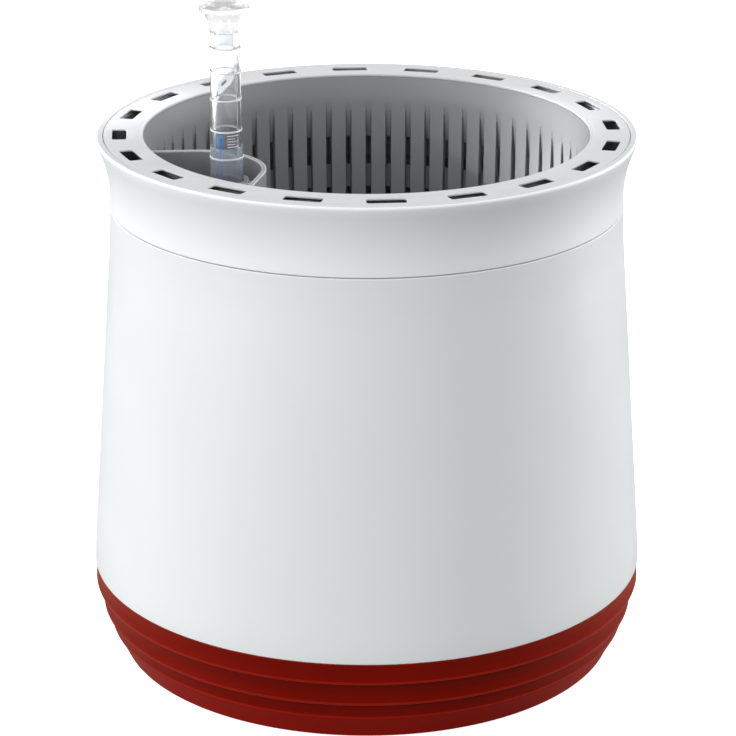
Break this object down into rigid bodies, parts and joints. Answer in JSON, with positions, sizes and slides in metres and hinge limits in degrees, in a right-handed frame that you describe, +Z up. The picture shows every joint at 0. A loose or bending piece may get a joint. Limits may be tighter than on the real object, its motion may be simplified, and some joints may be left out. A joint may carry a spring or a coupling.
{
  "type": "self watering planter",
  "caption": "Round self watering planter: white sleeve with vented rim on a stepped water tank, slotted growing basket, fill shaft and float level gauge.",
  "frame": {"origin": "on the floor at the middle of the water tank's foot ring", "axes": "+Z up, -Y towards the viewer with the fill shaft at the front left (-X, -Y)"},
  "size_m": [0.269, 0.269, 0.3284],
  "materials": {
    "tank_red": "satin moulded polypropylene",
    "shell_white": "satin moulded polypropylene",
    "rim_white": "satin moulded polypropylene",
    "liner_grey": "fine matt texture",
    "grate_grey": "fine matt texture",
    "clear": "polished clear styrene",
    "frosted": "frosted translucent styrene",
    "ring_white": "satin",
    "rod_blue": "satin",
    "float_foam": "closed-cell foam",
    "fleece": "felted capillary fleece"
  },
  "bodies": {
    "tank": {"reservoir_tank": "tank_red"},
    "shell": {"outer_shell": "shell_white", "top_collar": "shell_white"},
    "basket": {"vent_ring": "rim_white", "growing_basket": "liner_grey", "floor_grate": "grate_grey", "fill_shaft_wall": "liner_grey", "tube_bracket": "liner_grey", "wick_cup_a": "grate_grey", "wick_cup_b": "grate_grey", "wick_cup_c": "grate_grey", "wick_core_a": "fleece", "wick_core_b": "fleece", "wick_core_c": "fleece"},
    "gauge": {"gauge_tube": "clear", "gauge_cap": "clear", "gauge_sleeve": "frosted", "float_cage": "frosted", "cage_end_cap": "frosted", "rod_guide": "frosted", "level_ring_1": "ring_white", "level_ring_2": "ring_white", "level_ring_3": "ring_white", "level_ring_4": "ring_white", "level_ring_5": "ring_white"},
    "float": {"float_rod": "rod_blue", "rod_tip": "rod_blue", "float_body": "float_foam"}
  },
  "joints": [
    {"name": "shell_lift", "type": "slide", "parent": "tank", "child": "shell", "axis": [0, 0, 1], "range_m": [0, 0.1]},
    {"name": "basket_lift", "type": "slide", "parent": "shell", "child": "basket", "axis": [0, 0, 1], "range_m": [0, 0.26]},
    {"name": "gauge_lift", "type": "slide", "parent": "basket", "child": "gauge", "axis": [0, 0, 1], "range_m": [0, 0.26]},
    {"name": "float_rise", "type": "slide", "parent": "gauge", "child": "float", "axis": [0, 0, 1], "range_m": [0, 0.036]}
  ]
}
